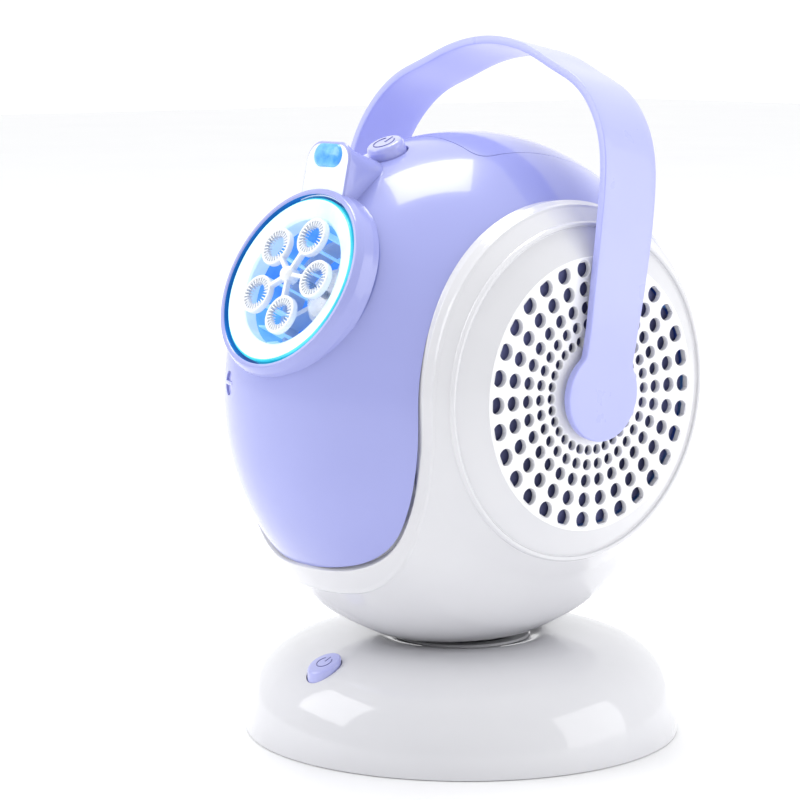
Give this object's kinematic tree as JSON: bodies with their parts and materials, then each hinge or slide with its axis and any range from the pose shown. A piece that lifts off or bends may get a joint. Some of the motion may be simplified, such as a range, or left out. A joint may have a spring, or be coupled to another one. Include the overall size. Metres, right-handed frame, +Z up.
{
  "type": "bubble machine",
  "caption": "Ball-shaped bubble machine on a round swivel base: lilac saddle shell over a white cradle, perforated side grilles, lit mouth with a wand wheel, and a carrying bail.",
  "frame": {"origin": "centre of the round base on the plane its feet stand on", "axes": "+Z up; the mouth faces -Y; the handle pivots lie on a line along X"},
  "size_m": [0.169, 0.1988, 0.2685],
  "materials": {
    "gloss_white": "glossy moulded shell",
    "grille_white": "glossy moulded grille",
    "lilac": "satin-gloss moulded shell",
    "lilac_strap": "satin-gloss moulded strap",
    "lilac_button": "glossy button",
    "glow": "milky light guide",
    "lens_blue": "clear blue lens",
    "wheel_white": "satin moulding",
    "inner_white": "moulded",
    "duct_blue": "moulded duct",
    "tank": "translucent tank",
    "screen": "fine woven screen",
    "rubber": "moulded rubber",
    "dark_plastic": "moulded",
    "steel": "turned",
    "board": "circuit board",
    "cell": "sleeved cell"
  },
  "bodies": {
    "base": {"base_shell": "gloss_white", "base_plate": "gloss_white", "base_feet": "rubber", "base_screws": "steel", "neck_ring": "gloss_white", "neck_bearing": "dark_plastic", "base_board": "board", "base_switch": "dark_plastic", "battery_tray": "inner_white", "battery_cells": "cell", "charge_port": "steel", "swivel_motor": "steel"},
    "head": {"swivel_gear": "inner_white", "spindle": "dark_plastic", "cradle": "gloss_white", "saddle": "lilac", "brow": "lilac", "brow_lens": "lens_blue", "mouth_collar": "lilac", "light_ring": "glow", "led_board": "board", "leds": "glow", "grille_right": "grille_white", "grille_left": "grille_white", "dust_screens": "screen", "grille_screws": "steel", "top_switch": "dark_plastic", "main_board": "board", "fill_funnel": "inner_white", "soap_tank": "tank", "tank_cover": "inner_white", "blower_housing": "duct_blue", "blower_motor": "steel", "wheel_mount": "inner_white", "wheel_motor": "steel", "feed_nozzle": "inner_white"},
    "pinion": {"swivel_pinion": "inner_white", "pinion_shaft": "steel"},
    "base_button_body": {"base_button": "lilac_button"},
    "top_button_body": {"top_button": "lilac_button"},
    "lid": {"fill_lid": "lilac"},
    "plug": {"turn_plug": "lilac_button"},
    "impeller": {"blower_impeller": "inner_white", "blower_shaft": "steel"},
    "wheel": {"wand_wheel": "wheel_white", "wheel_shaft": "steel"},
    "bail": {"handle": "lilac_strap", "pivot_pins": "steel"}
  },
  "joints": [
    {"name": "head_swivel", "type": "hinge", "parent": "base", "child": "head", "pos_m": [0, 0, 0.04], "axis": [0, 0, 1], "range_deg": [-90, 90]},
    {"name": "pinion_spin", "type": "hinge", "parent": "base", "child": "pinion", "pos_m": [0.0315, 0, 0.017], "axis": [0, 0, 1], "range_deg": [-301, 301]},
    {"name": "base_button_press", "type": "slide", "parent": "base", "child": "base_button_body", "axis": [0, 0, -1], "range_m": [0, 0.0015], "stiffness_N_per_m": 300, "springref_m": -0.0008},
    {"name": "top_button_press", "type": "slide", "parent": "head", "child": "top_button_body", "axis": [0, 0.4179, -0.9085], "range_m": [0, 0.0015], "stiffness_N_per_m": 300, "springref_m": -0.0008},
    {"name": "handle_swing", "type": "hinge", "parent": "head", "child": "bail", "pos_m": [0, 0, 0.1383], "axis": [1, 0, 0], "range_deg": [-79, 79]},
    {"name": "lid_lift", "type": "slide", "parent": "head", "child": "lid", "axis": [0, 0, 1], "range_m": [0, 0.02]},
    {"name": "plug_turn", "type": "hinge", "parent": "head", "child": "plug", "pos_m": [-0.025, -0.0906, 0.14], "axis": [-0.3575, -0.9313, 0.0698], "range_deg": [0, 90]},
    {"name": "impeller_spin", "type": "hinge", "parent": "head", "child": "impeller", "pos_m": [0, -0.00493, 0.11952], "axis": [1, 0, 0], "continuous": true},
    {"name": "wheel_spin", "type": "hinge", "parent": "head", "child": "wheel", "pos_m": [0, -0.08163, 0.18075], "axis": [0, -0.8942, 0.4478], "continuous": true}
  ],
  "couplings": [
    {"joint": "pinion_spin", "follows": "head_swivel", "ratio": -3.3333}
  ]
}
